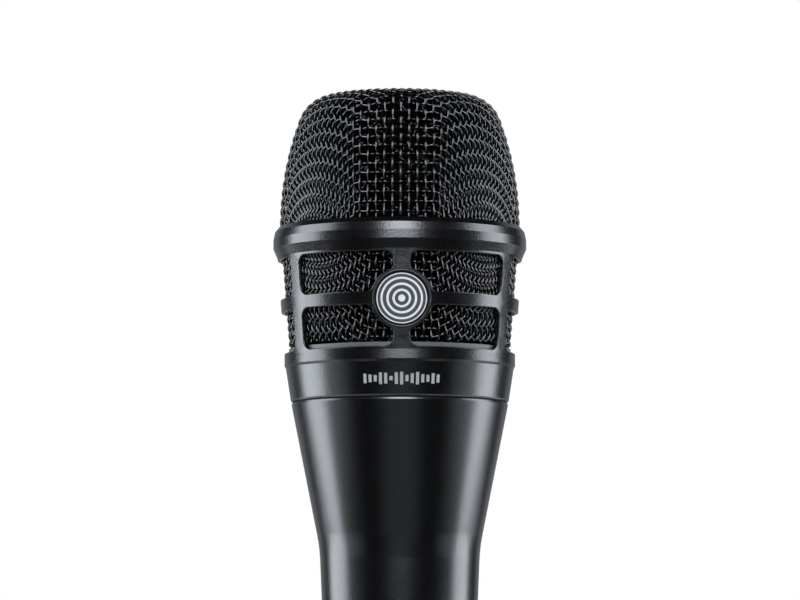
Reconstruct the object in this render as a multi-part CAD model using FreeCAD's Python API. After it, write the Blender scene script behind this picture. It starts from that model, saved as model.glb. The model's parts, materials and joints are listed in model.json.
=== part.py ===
"""Handheld dual-diaphragm dynamic vocal microphone, as the separate pieces it is assembled from.

Millimetres. The origin is the centre of the tail rim, +Z runs up the axis towards the head, and
the badge faces -Y. Outlines are (radius, height) points, with an optional third value that rounds
that corner.
"""

import FreeCAD
import Part

import math
import os

# ---- driving dimensions -------------------------------------------------------------------------

TOTAL_LENGTH = 190.5

# handle
SHOULDER_Z = 127.22             # top face of the handle
SHOULDER_R = 21.915             # where the flare's line meets that height
SHOULDER_LAND = (0.12, 0.36)    # the flare's last stretch leans back in by this much, over this height
TAIL_R = 12.4
NECK_CONE_DEG = 11.2            # half angle of the flare under the head
TAPER_DEG = 2.41                # half angle of the long grip
WAIST_BLEND_R = 32.0            # arc between grip and flare
TAIL_LAND_TOP_Z = 8.5           # end of the true cylinder at the tail
HANDLE_WALL = 1.8
NECK_BORE_R = 18.3
NECK_BORE_FLOOR_Z = 117.0
CONNECTOR_BORE_R = 10.0
CONNECTOR_BORE_TOP_Z = 22.0

# neck thread and head
THREAD_R = 19.8
THREAD_PITCH = 1.0
THREAD_DEPTH = 0.5
THREAD_FLAT = 0.11              # width of a crest, and of a root
THREAD_BORE_R = 16.7
THREAD_TOP_Z = 133.8
RUN_CLEARANCE = 0.08            # radial, between the neck thread and the head's thread ring
SEAL_SEAT_DEPTH = 0.15          # below the handle's top face
SEAL_T = 0.46
SEAL_R = (THREAD_R + 0.3, 21.4)
AXIAL_GAP = 0.02                # each side of the seal ring
SEAL_SEAT_Z = SHOULDER_Z - SEAL_SEAT_DEPTH
HEAD_BOTTOM_Z = SEAL_SEAT_Z + SEAL_T + 2 * AXIAL_GAP
FIT_GAP = 0.05                  # between nested pieces of one body

# grille cage
BAND_LOWER_R = 22.03            # conical name band, bottom and top
BAND_UPPER_R = 23.02
BAND_BEVEL = (0.2, 0.3)         # at the bottom edge of the band: inwards, upwards
BAND_TOP_Z = 134.3
COLLAR_R = 23.3                 # upright collar above the name band
COLLAR_Z = (134.8, 136.7)
WALL_TOP_R = 24.75
WALL_TOP_Z = 156.6
WALL_T = 0.8
POST_COUNT = 6
POST_WIDTH = 3.3
WINDOW_ROWS = ((137.25, 145.5), (148.15, 156.1))
WINDOW_CORNER_R = 1.9
WINDOW_EDGE_R = 0.22
WALL_SLOPE = (WALL_TOP_R - COLLAR_R) / (WALL_TOP_Z - COLLAR_Z[1])
INSERT_POCKET_R = 21.35         # pocket for the head's thread ring
INSERT_TOP_Z = 134.55
CLAMP_RING_BORE_R = 19.4
CAGE_OUTER_REACH = 30.0         # beyond every piece of the head

# bezel ring over the top of the cage
BEZEL_R = 25.6
BEZEL_Z = (WALL_TOP_Z, 158.5, 160.3, 161.85, 162.85)
TONGUE_TOP_Z = BEZEL_Z[2] - 0.2 # the cage's tongue inside the bezel
TONGUE_R = WALL_TOP_R - 0.13

# badge on the front post
BADGE_Z = 146.65
BADGE_R = 5.03
BADGE_T = 0.35
BADGE_RECESS_R = 5.4
BADGE_RECESS_DEPTH = 0.5
BOSS_R = 5.8                    # ring let into the wall around the badge
BOSS_LIP_R = 0.15
BOSS_RING_T = 0.73
BOSS_FACE_D = 24.13             # distance of the ring's face from the axis
BOSS_SHOULDER_R = 6.2           # disc of wall left around the ring by the windows
BOSS_CORNER_R = 1.2             # where that disc runs into the bars

# woven dome: three tangent arcs over a conical skirt; a second woven basket carries the skirt on
DOME_TOP_ARC_R = 139.0
DOME_SHOULDER_ARC_R = 7.3
DOME_SIDE_ARC_R = 62.0
DOME_R = 24.35
DOME_FOOT_Z = 163.3
MESH_SPLIT_Z = 158.25           # the dome ends here, inside the bezel, and the basket begins
SKIRT_FOOT_R = 22.4
SKIRT_FOOT_Z = 138.2
MESH_T = 1.0
LINER_GAP = 0.3
LINER_T = 2.0

# shock mount and its seat, over the neck thread
SEAT_FLOOR_Z = 126.0
SEAT_TOP_Z = 135.2
SEAT_R = 18.6
SEAT_BORE_R = 14.0
SEAT_DRAIN_R = 11.0

# cartridge
CARTRIDGE_Z = 141.0
CARTRIDGE_R = 15.5
CARTRIDGE_BORE_R = 14.2
CARTRIDGE_TOP_Z = 172.0
REAR_CAP_T = 2.0
VENT_COUNT = 8                  # round holes in the side of the housing
VENT_R = 1.3
VENT_Z = 150.5
STRIP_T = 0.9
INNER_R = 14.1                  # pieces held inside the cartridge housing
POLE_R = 4.9
COIL_R = (5.2, 5.6)
TOP_PLATE_BORE_R = 5.95
DIAPHRAGM_R = 12.4
DIAPHRAGM_T = 0.15
CLAMP_BORE_R = 12.7
PORT_R = 0.9                    # holes in the front cap
REAR_CLAMP_Z = (145.5, 149.95)
REAR_DIAPHRAGM_Z = 147.5
CUP_Z = (150.0, 157.8)
CUP_FLOOR_Z = 153.4
CUP_BORE_R = 12.9
YOKE_Z = (153.45, 155.8)
YOKE_R = 11.6
YOKE_BORE_R = 1.3
POLE_TOP_Z = 162.8
MAGNET_Z = (155.85, 160.5)
MAGNET_R = (6.6, 11.4)
HUM_COIL_Z = (156.2, 160.2)
HUM_COIL_R = (11.75, 12.75)
TOP_PLATE_Z = (160.55, POLE_TOP_Z)
TOP_PLATE_R = 12.8
MOTOR_FRAME_Z = (157.85, 166.0)
MOTOR_FRAME_BORE_R = 12.85
VOICE_COIL_Z = (161.0, 166.3)
FRONT_DIAPHRAGM_Z = 166.35
FRONT_CLAMP_Z = (166.05, 169.7)
RESONATOR_Z = (169.75, 170.75)
FRONT_CLOTH_Z = (170.8, 171.9)
FRONT_CLOTH_R = 13.9
FRONT_CAP_Z = (172.05, 174.6)

# three-pole connector in the tail
SOCKET_R = 8.1
PIN_R = 1.18
PIN_CIRCLE_R = 4.2
PIN_TIP_Z = (2.0, 2.6, 2.6)     # the earth pin reaches out further
PIN_ROOT_Z = 24.6
PIN_AZIMUTH_DEG = (30, 150, 270)
INSULATOR_Z = (15.5, 20.5)
SCREW_R = 1.25                  # lock screw in the side of the tail
SCREW_Z = 11.0
SLEEVE_R = CONNECTOR_BORE_R - FIT_GAP
KEYWAY_WIDTH = 2.4
LATCH_WIDTH = 4.4
LUG_T = 0.4

# electronics in the handle
BOARD_Z = (24.8, 40.0)
TRANSFORMER_Z = (60.0, 74.0)
CORE_HALF = 6.0
HOLDER_Z = (58.0, 76.0)
HOLDER_R = (8.3, 12.4)
LEAD_R = 0.5

UP = FreeCAD.Vector(0, 0, 1)
ORIGIN = FreeCAD.Vector(0, 0, 0)


# ---- shape helpers ------------------------------------------------------------------------------

def vec(x, y, z):
    return FreeCAD.Vector(x, y, z)


def flat(point):
    """An (radius, height) point as a vector in the XZ plane."""
    return vec(point[0], 0, point[1])


def outline_edges(points):
    """Closed run of lines through the points, with an arc at each corner that gives a radius."""
    stations = []
    count = len(points)
    for index, point in enumerate(points):
        here = flat(point)
        if len(point) == 2:
            stations.append((here, here, here))
            continue
        to_last = flat(points[index - 1]) - here
        to_next = flat(points[(index + 1) % count]) - here
        to_last.normalize()
        to_next.normalize()
        half = to_last.getAngle(to_next) / 2
        reach = point[2] / math.tan(half)
        inward = to_last + to_next
        inward.normalize()
        centre = here + inward * (point[2] / math.sin(half))
        stations.append((here + to_last * reach, centre - inward * point[2], here + to_next * reach))
    edges = []
    for index, (start, middle, end) in enumerate(stations):
        if (end - start).Length > 1e-6:
            edges.append(Part.Arc(start, middle, end).toShape())
        following = stations[(index + 1) % count][0]
        if (following - end).Length > 1e-6:
            edges.append(Part.makeLine(end, following))
    return edges


def lathe_edges(edges):
    face = Part.Face(Part.Wire(edges))
    solid = face.revolve(ORIGIN, UP, 360)
    if solid.Volume < 0:
        solid.reverse()
    return solid


def lathe(points):
    return lathe_edges(outline_edges(points))


def disc(radius, low, high, x=0.0, y=0.0):
    return Part.makeCylinder(radius, high - low, vec(x, y, low), UP)


def ring(outer, inner, low, high):
    return disc(outer, low, high).cut(disc(inner, low - 1, high + 1))


def box(x_range, y_range, z_range):
    size = [high - low for low, high in (x_range, y_range, z_range)]
    return Part.makeBox(*size, vec(x_range[0], y_range[0], z_range[0]))


def polar(radius, degrees):
    angle = math.radians(degrees)
    return radius * math.cos(angle), radius * math.sin(angle)


def holes_on_circle(count, hole_r, circle_r, low, high, first_deg=0.0):
    places = (polar(circle_r, first_deg + index * 360 / count) for index in range(count))
    return Part.makeCompound([disc(hole_r, low, high, x, y) for x, y in places])


def save(name, shape):
    if not shape.isValid():
        raise ValueError(name + " is not a valid shape")
    shape.exportStep("parts/" + name + ".step")


# ---- handle -------------------------------------------------------------------------------------

def grip_r(z):
    return TAIL_R + (z - TAIL_LAND_TOP_Z) * math.tan(math.radians(TAPER_DEG))


def flare_r(z):
    return SHOULDER_R - (SHOULDER_Z - z) * math.tan(math.radians(NECK_CONE_DEG))


def waist_z():
    """Height where the straight lines of the grip and the flare would cross."""
    grip_slope = math.tan(math.radians(TAPER_DEG))
    flare_slope = math.tan(math.radians(NECK_CONE_DEG))
    return (flare_r(0) - grip_r(0)) / (grip_slope - flare_slope)


def handle_shell():
    waist = waist_z()
    socket_wall = CONNECTOR_BORE_TOP_Z + 2
    land_z = SHOULDER_Z - SHOULDER_LAND[1]
    seat_r = SEAL_R[1] + FIT_GAP
    outline = [
        (CONNECTOR_BORE_R, 0.0),
        (TAIL_R, 0.0, 0.5),
        (TAIL_R, TAIL_LAND_TOP_Z),
        (grip_r(waist), waist, WAIST_BLEND_R),
        (flare_r(land_z), land_z),
        (SHOULDER_R - SHOULDER_LAND[0], SHOULDER_Z),
        (seat_r, SHOULDER_Z),
        (seat_r, SEAL_SEAT_Z),
        (NECK_BORE_R, SEAL_SEAT_Z),
        (NECK_BORE_R, NECK_BORE_FLOOR_Z),
        (flare_r(waist) - HANDLE_WALL, waist),
        (grip_r(socket_wall) - HANDLE_WALL, socket_wall),
        (CONNECTOR_BORE_R, CONNECTOR_BORE_TOP_Z),
    ]
    lock_hole = Part.makeCylinder(SCREW_R + FIT_GAP, TAIL_R, vec(0, SOCKET_R, SCREW_Z), vec(0, 1, 0))
    return lathe(outline).cut(lock_hole)


def neck_thread_ring():
    """Pressed into the neck bore; the thread stands above the handle's top face."""
    root_r = THREAD_R - THREAD_DEPTH
    root_reach = THREAD_PITCH / 2 - THREAD_FLAT / 2
    foot_z = NECK_BORE_FLOOR_Z + 1
    press_r = NECK_BORE_R - FIT_GAP
    outline = [(press_r, foot_z), (press_r, SEAL_SEAT_Z), (root_r, SEAL_SEAT_Z)]
    crest = SHOULDER_Z + 0.9 * THREAD_PITCH
    while crest + THREAD_PITCH / 2 < THREAD_TOP_Z:
        outline += [(root_r, crest - root_reach), (THREAD_R, crest - THREAD_FLAT / 2)]
        outline += [(THREAD_R, crest + THREAD_FLAT / 2), (root_r, crest + root_reach)]
        crest += THREAD_PITCH
    outline += [(root_r, THREAD_TOP_Z), (THREAD_BORE_R, THREAD_TOP_Z), (THREAD_BORE_R, foot_z)]
    return lathe(outline)


def seal_ring():
    low = SEAL_SEAT_Z + AXIAL_GAP
    return ring(SEAL_R[1], SEAL_R[0], low, low + SEAL_T)


def shock_mount_seat():
    skirt_r = THREAD_BORE_R - 0.1
    flange_z = THREAD_TOP_Z + FIT_GAP
    return lathe([
        (SEAT_DRAIN_R, SEAT_FLOOR_Z), (skirt_r, SEAT_FLOOR_Z), (skirt_r, flange_z), (SEAT_R, flange_z),
        (SEAT_R, SEAT_TOP_Z, 0.4), (SEAT_BORE_R, SEAT_TOP_Z), (SEAT_BORE_R, SEAT_FLOOR_Z + 2),
        (SEAT_DRAIN_R, SEAT_FLOOR_Z + 2),
    ])


def shock_mount():
    """Rubber bellows between the seat and the cartridge."""
    foot = SEAT_TOP_Z + FIT_GAP
    top = CARTRIDGE_Z - FIT_GAP
    fold = (foot + top) / 2 + 0.5
    return lathe([
        (SEAT_R - 0.3, foot), (SEAT_R - 0.3, foot + 0.95, 0.4), (15.6, foot + 1.35), (15.6, fold - 1),
        (17.0, fold, 0.5), (14.6, top - 1.05), (14.6, top), (9.6, top), (9.6, top - 0.85),
        (13.2, top - 1.55), (15.2, fold - 0.1, 0.3), (14.3, fold - 1), (14.3, foot),
    ])


# ---- connector ----------------------------------------------------------------------------------

def connector_sleeve():
    sleeve = ring(SLEEVE_R, SOCKET_R, 0.6, CONNECTOR_BORE_TOP_Z)
    latch_notch = box((-LATCH_WIDTH / 2, LATCH_WIDTH / 2), (0, SOCKET_R + 1.1), (0, 5.5))
    keyway = box((-KEYWAY_WIDTH / 2, KEYWAY_WIDTH / 2), (0, SOCKET_R + 0.7), (0, 14.0))
    tapped = Part.makeCylinder(SCREW_R + FIT_GAP, 4, vec(0, SOCKET_R, SCREW_Z), vec(0, 1, 0))
    return sleeve.cut(latch_notch).cut(keyway).cut(tapped)


def connector_screw():
    """Headless lock screw in the side of the tail, with a hexagon socket."""
    foot = SOCKET_R + 0.9
    length = TAIL_R - 0.2 - foot
    body = Part.makeCylinder(SCREW_R, length, vec(0, foot, SCREW_Z), vec(0, 1, 0))
    corners = [polar(0.7, 60 * index) for index in range(7)]
    wire = Part.makePolygon([vec(x, foot + length, SCREW_Z + z) for x, z in corners])
    return body.cut(Part.Face(wire).extrude(vec(0, -1.2, 0)))


def pin_places():
    return [polar(PIN_CIRCLE_R, azimuth) for azimuth in PIN_AZIMUTH_DEG]


def connector_insulator():
    low, high = INSULATOR_Z
    block = disc(SOCKET_R - FIT_GAP, low, high).fuse(disc(6.6, high, high + 1.4))
    for x, y in pin_places():
        block = block.cut(disc(PIN_R + 0.03, low - 1, high + 3, x, y))
    return block


def contact_pin(place, tip_z):
    """Turned pin with a rounded tip and a slotted solder cup."""
    pin = lathe([(0, tip_z), (PIN_R, tip_z, 0.7), (PIN_R, PIN_ROOT_Z), (0, PIN_ROOT_Z)])
    pin = pin.cut(disc(0.75, PIN_ROOT_Z - 1.6, PIN_ROOT_Z + 1))
    pin.translate(vec(place[0], place[1], 0))
    return pin


def earth_lug():
    low = CONNECTOR_BORE_TOP_Z + FIT_GAP
    washer = ring(9.8, 7.0, low, low + LUG_T)
    tag = box((-1.2, 1.2), (5.6, 7.4), (low, low + LUG_T))
    return washer.fuse(tag).removeSplitter()


# ---- electronics in the handle ------------------------------------------------------------------

def contact_board():
    """Small board soldered upright behind the contact pins."""
    board = box((-6.0, 6.0), (-0.8, 0.8), BOARD_Z)
    return board.cut(Part.makeCylinder(1.0, 4, vec(0, -2, 36.0), vec(0, 1, 0)))


def board_parts():
    capacitor = box((-4.6, -1.4), (0.85, 3.4), (28.0, 33.0))
    resistor = Part.makeCylinder(1.0, 5.5, vec(3.0, 1.9, 27.5), UP)
    return Part.makeCompound([capacitor, resistor])


def transformer_core():
    low, high = TRANSFORMER_Z
    core = box((-CORE_HALF, CORE_HALF), (-5.0, 5.0), (low, high))
    for side in (-1, 1):
        window = sorted((side * 2.0, side * 4.6))
        core = core.cut(box(window, (-6, 6), (low + 2.2, high - 2.2)))
    return core


def transformer_winding():
    low, high = TRANSFORMER_Z
    span = (low + 2.4, high - 2.4)
    coil = box((-4.4, 4.4), (-6.6, 6.6), span)
    return coil.cut(box((-2.1, 2.1), (-5.1, 5.1), (low, high)))


def transformer_holder():
    """Foam collar that wedges the transformer in the grip."""
    return ring(HOLDER_R[1], HOLDER_R[0], *HOLDER_Z)


def straight_leads(places, low, high):
    return Part.makeCompound([disc(LEAD_R, low, high, x, y) for x, y in places])


# ---- cartridge ----------------------------------------------------------------------------------

def cartridge_rear_cap():
    low, high = CARTRIDGE_Z, CARTRIDGE_Z + REAR_CAP_T
    cap = disc(CARTRIDGE_R - 0.5, low, high).cut(disc(3.0, low - 1, high + 1))
    return cap.cut(holes_on_circle(6, 1.1, 8.0, low - 1, high + 1))


def cartridge_housing():
    low = CARTRIDGE_Z + REAR_CAP_T + FIT_GAP
    tube = ring(CARTRIDGE_R, CARTRIDGE_BORE_R, low, CARTRIDGE_TOP_Z)
    for index in range(VENT_COUNT):
        x, y = polar(1, (index + 0.5) * 360 / VENT_COUNT)
        tube = tube.cut(Part.makeCylinder(VENT_R, 20, vec(0, 0, VENT_Z), vec(x, y, 0)))
    return tube


def terminal_strip():
    high = CARTRIDGE_Z - FIT_GAP
    strip = box((-4.2, 4.2), (-2.0, 2.0), (high - STRIP_T, high))
    return strip.cut(holes_on_circle(2, 0.45, 2.4, CARTRIDGE_Z - 2, CARTRIDGE_Z + 1))


def diaphragm(low, side):
    """Thin cap and rolled surround; side is +1 for a cap that stands up, -1 for one that hangs."""
    cap = 1.3 * side
    roll = 0.9 * side
    skin = DIAPHRAGM_T * side

    def run(lift):
        crown = vec(0, 0, low + cap + lift)
        seam = vec(COIL_R[1], 0, low + lift)
        edge = vec(DIAPHRAGM_R, 0, low + lift)
        cap_mid = vec(COIL_R[1] * 0.62, 0, low + cap * 0.64 + lift)
        roll_mid = vec((COIL_R[1] + DIAPHRAGM_R) / 2, 0, low + roll + lift)
        return Part.Arc(crown, cap_mid, seam).toShape(), Part.Arc(seam, roll_mid, edge).toShape()

    lower_cap, lower_roll = run(0)
    upper_cap, upper_roll = run(skin)
    rim = Part.makeLine(vec(DIAPHRAGM_R, 0, low), vec(DIAPHRAGM_R, 0, low + skin))
    axis = Part.makeLine(vec(0, 0, low + cap), vec(0, 0, low + cap + skin))
    return lathe_edges([lower_cap, lower_roll, rim, upper_roll, upper_cap, axis])


def rear_chamber_cup():
    low, high = CUP_Z
    return lathe([
        (0, low), (INNER_R, low), (INNER_R, high), (CUP_BORE_R, high), (CUP_BORE_R, CUP_FLOOR_Z),
        (0, CUP_FLOOR_Z),
    ]).cut(disc(YOKE_BORE_R + 0.3, low - 1, CUP_FLOOR_Z + 1))


def yoke():
    low, high = YOKE_Z
    return lathe([
        (YOKE_BORE_R, low), (YOKE_R, low), (YOKE_R, high), (POLE_R, high), (POLE_R, POLE_TOP_Z, 0.2),
        (YOKE_BORE_R, POLE_TOP_Z),
    ])


def front_cap():
    low, high = FRONT_CAP_Z
    cap = lathe([
        (0, low), (CARTRIDGE_R, low), (CARTRIDGE_R, high - 1, 0.8), (10.0, high), (0, high),
    ])
    for count, circle_r, first_deg in ((12, 11.5, 0), (8, 7.8, 22.5), (5, 4.0, 0)):
        cap = cap.cut(holes_on_circle(count, PORT_R, circle_r, low - 1, high + 1, first_deg))
    return cap


def resonator_plate():
    low, high = RESONATOR_Z
    plate = disc(INNER_R, low, high).cut(disc(1.1, low - 1, high + 1))
    return plate.cut(holes_on_circle(7, 1.1, 9.0, low - 1, high + 1))


# ---- woven dome, woven basket and their liner ---------------------------------------------------

def skirt_r(z):
    return DOME_R - (DOME_FOOT_Z - z) * (DOME_R - SKIRT_FOOT_R) / (DOME_FOOT_Z - SKIRT_FOOT_Z)


def dome_run(inset, foot_z):
    """Edges of the cup's line from crown to foot, this far inside its outer face."""
    top = (0.0, TOTAL_LENGTH - DOME_TOP_ARC_R)
    side = (DOME_R - DOME_SIDE_ARC_R, DOME_FOOT_Z)
    shoulder = circle_crossing(
        top, DOME_TOP_ARC_R - DOME_SHOULDER_ARC_R, side, DOME_SIDE_ARC_R - DOME_SHOULDER_ARC_R
    )
    top_angle = math.atan2(shoulder[1] - top[1], shoulder[0] - top[0])
    side_angle = math.atan2(shoulder[1] - side[1], shoulder[0] - side[0])
    arcs = (
        (top, DOME_TOP_ARC_R - inset, math.pi / 2, top_angle),
        (shoulder, DOME_SHOULDER_ARC_R - inset, top_angle, side_angle),
        (side, DOME_SIDE_ARC_R - inset, side_angle, 0.0),
    )
    edges = []
    for centre, radius, start, end in arcs:
        stations = (start, (start + end) / 2, end)
        points = [
            vec(centre[0] + radius * math.cos(angle), 0, centre[1] + radius * math.sin(angle))
            for angle in stations
        ]
        edges.append(Part.Arc(*points).toShape())
    edges.append(Part.makeLine(points[-1], vec(skirt_r(foot_z) - inset, 0, foot_z)))
    return edges


def circle_crossing(first, first_r, second, second_r):
    """The crossing of two circles that lies furthest from the axis, above the dome's foot."""
    across = (second[0] - first[0], second[1] - first[1])
    distance = math.hypot(*across)
    along = (first_r ** 2 - second_r ** 2 + distance ** 2) / (2 * distance)
    offset = math.sqrt(first_r ** 2 - along ** 2)
    unit = (across[0] / distance, across[1] / distance)
    crossings = [
        (first[0] + along * unit[0] - turn * offset * unit[1],
         first[1] + along * unit[1] + turn * offset * unit[0])
        for turn in (-1, 1)
    ]
    return max(crossings, key=lambda point: point[0])


def cup(outer_inset, inner_inset, foot_z):
    outer = dome_run(outer_inset, foot_z)
    inner = dome_run(inner_inset, foot_z)
    crown = Part.makeLine(outer[0].Vertexes[0].Point, inner[0].Vertexes[0].Point)
    foot = Part.makeLine(outer[-1].Vertexes[-1].Point, inner[-1].Vertexes[-1].Point)
    return lathe_edges(Part.sortEdges(outer + inner + [crown, foot])[0])


def lower_mesh():
    """Conical basket behind the windows, from the foot of the dome's mesh to the clamp ring."""
    top_z = MESH_SPLIT_Z - FIT_GAP
    return lathe([
        (SKIRT_FOOT_R, SKIRT_FOOT_Z), (skirt_r(top_z), top_z), (skirt_r(top_z) - MESH_T, top_z),
        (SKIRT_FOOT_R - MESH_T, SKIRT_FOOT_Z),
    ])


# ---- grille cage and bezel ----------------------------------------------------------------------

def wall_r(z):
    return WALL_TOP_R + (z - WALL_TOP_Z) * WALL_SLOPE


def cage_body():
    inner_foot_r = COLLAR_R - WALL_T
    pocket_top = INSERT_TOP_Z + FIT_GAP
    return lathe([
        (INSERT_POCKET_R, HEAD_BOTTOM_Z), (BAND_LOWER_R - BAND_BEVEL[0], HEAD_BOTTOM_Z),
        (BAND_LOWER_R, HEAD_BOTTOM_Z + BAND_BEVEL[1]), (BAND_UPPER_R, BAND_TOP_Z), (COLLAR_R, COLLAR_Z[0], 0.1),
        (COLLAR_R, COLLAR_Z[1]), (WALL_TOP_R, WALL_TOP_Z), (TONGUE_R, WALL_TOP_Z),
        (TONGUE_R, TONGUE_TOP_Z), (wall_r(TONGUE_TOP_Z) - WALL_T, TONGUE_TOP_Z),
        (inner_foot_r, COLLAR_Z[1]), (inner_foot_r, pocket_top), (INSERT_POCKET_R, pocket_top),
    ])


def boss_axis():
    """Point on the axis behind the badge and the outward direction square to the wall."""
    tilt = math.atan(WALL_SLOPE)
    outward = vec(0, -math.cos(tilt), -math.sin(tilt))
    return vec(0, 0, BADGE_Z + BOSS_FACE_D * math.sin(tilt)), outward


def along_boss(radius, near, far):
    """Cylinder about the boss axis between two distances from the microphone's axis."""
    base, outward = boss_axis()
    return Part.makeCylinder(radius, far - near, base + outward * near, outward)


def badge_ring():
    """Ring around the badge, rounded over at both edges."""
    body = lathe([
        (BADGE_RECESS_R, -BOSS_RING_T), (BADGE_RECESS_R, 0, BOSS_LIP_R), (BOSS_R, 0, BOSS_LIP_R),
        (BOSS_R, -BOSS_RING_T),
    ])
    base, outward = boss_axis()
    body.Placement = FreeCAD.Placement(base + outward * BOSS_FACE_D, FreeCAD.Rotation(UP, outward))
    return body


def badge_seat():
    """Space cut out of the wall for the badge, with a deeper groove for the ring."""
    outer_r = BOSS_R + FIT_GAP
    floor_d = BOSS_FACE_D - BADGE_RECESS_DEPTH
    groove_d = BOSS_FACE_D - BOSS_RING_T - AXIAL_GAP
    groove = along_boss(outer_r, groove_d, floor_d + 0.1)
    groove = groove.cut(along_boss(BADGE_RECESS_R - FIT_GAP, groove_d - 1, floor_d + 1))
    return along_boss(outer_r, floor_d, CAGE_OUTER_REACH).fuse(groove)


def window_cutter(index, low, high):
    """One window between two posts: sides parallel to the posts, corners rounded."""
    first_deg = -90 + index * 360 / POST_COUNT
    second_deg = first_deg + 360 / POST_COUNT
    apex_distance = POST_WIDTH / 2 / math.sin(math.pi / POST_COUNT)
    apex = vec(*polar(apex_distance, (first_deg + second_deg) / 2), low)
    first = apex + vec(*polar(CAGE_OUTER_REACH, first_deg), 0)
    second = apex + vec(*polar(CAGE_OUTER_REACH, second_deg), 0)
    wedge = Part.Face(Part.makePolygon([apex, first, second, apex])).extrude(vec(0, 0, high - low))
    cutter = wedge.common(ring(CAGE_OUTER_REACH - 4, SKIRT_FOOT_R - 2, low, high))
    corners = [edge for edge in cutter.Edges if is_radial(edge)]
    cutter = cutter.makeFillet(WINDOW_CORNER_R, corners)
    if index in (0, POST_COUNT - 1):
        cutter = cutter.cut(along_boss(BOSS_SHOULDER_R, 0, CAGE_OUTER_REACH))
        cutter = cutter.makeFillet(BOSS_CORNER_R, [edge for edge in cutter.Edges if beside_boss(edge)])
    return cutter


def beside_boss(edge):
    """Whether an edge runs outwards, where the boss cuts the corner off a window."""
    base, outward = boss_axis()
    ends = [vertex.Point for vertex in edge.Vertexes]
    if len(ends) != 2 or abs((ends[1] - ends[0]).dot(outward)) < 1.0:
        return False
    return all(abs(end.distanceToLine(base, outward) - BOSS_SHOULDER_R) < 1e-3 for end in ends)


def is_radial(edge):
    """Straight, level and running outwards, as the corners of a window are."""
    if edge.Curve.TypeId != "Part::GeomLine":
        return False
    start, end = (vertex.Point for vertex in edge.Vertexes)
    level = abs(start.z - end.z) < 1e-6
    return level and abs(math.hypot(start.x, start.y) - math.hypot(end.x, end.y)) > 1.0


def on_wall(edge):
    """Whether an edge lies in the cage's outer face, around a window."""
    for parameter in (0.1, 0.5, 0.9):
        first, last = edge.ParameterRange
        point = edge.valueAt(first + (last - first) * parameter)
        inside_height = COLLAR_Z[1] + 0.1 < point.z < WALL_TOP_Z - 0.1
        if not inside_height or abs(math.hypot(point.x, point.y) - wall_r(point.z)) > 0.01:
            return False
    return True


def grille_cage():
    cage = cage_body()
    for low, high in WINDOW_ROWS:
        for index in range(POST_COUNT):
            cage = cage.cut(window_cutter(index, low, high))
    edges = [edge for edge in cage.Edges if on_wall(edge)]
    cage = cage.makeFillet(WINDOW_EDGE_R, edges)
    return cage.cut(badge_seat())


def badge():
    low = BOSS_FACE_D - BADGE_RECESS_DEPTH + 0.02
    return along_boss(BADGE_R, low, low + BADGE_T)


def grille_ring():
    foot, corner, brow, lip, crown = BEZEL_Z
    pocket_r = TONGUE_R + FIT_GAP
    bore_r = DOME_R + 0.1
    return lathe([
        (pocket_r, foot + 0.02), (WALL_TOP_R + 0.03, foot + 0.02), (BEZEL_R, corner, 0.25),
        (BEZEL_R, brow, 0.4), (BEZEL_R - 0.32, lip, 0.15), (bore_r, crown),
        (bore_r, TONGUE_TOP_Z + FIT_GAP), (pocket_r, TONGUE_TOP_Z + FIT_GAP),
    ])


def head_thread_ring():
    return ring(INSERT_POCKET_R - FIT_GAP, THREAD_R + RUN_CLEARANCE, HEAD_BOTTOM_Z + 0.03, INSERT_TOP_Z)


def mesh_clamp_ring():
    outer = COLLAR_R - WALL_T - 0.1
    return ring(outer, CLAMP_RING_BORE_R, INSERT_TOP_Z + 2 * FIT_GAP, SKIRT_FOOT_Z - FIT_GAP)


# ---- assembly -----------------------------------------------------------------------------------

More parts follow.
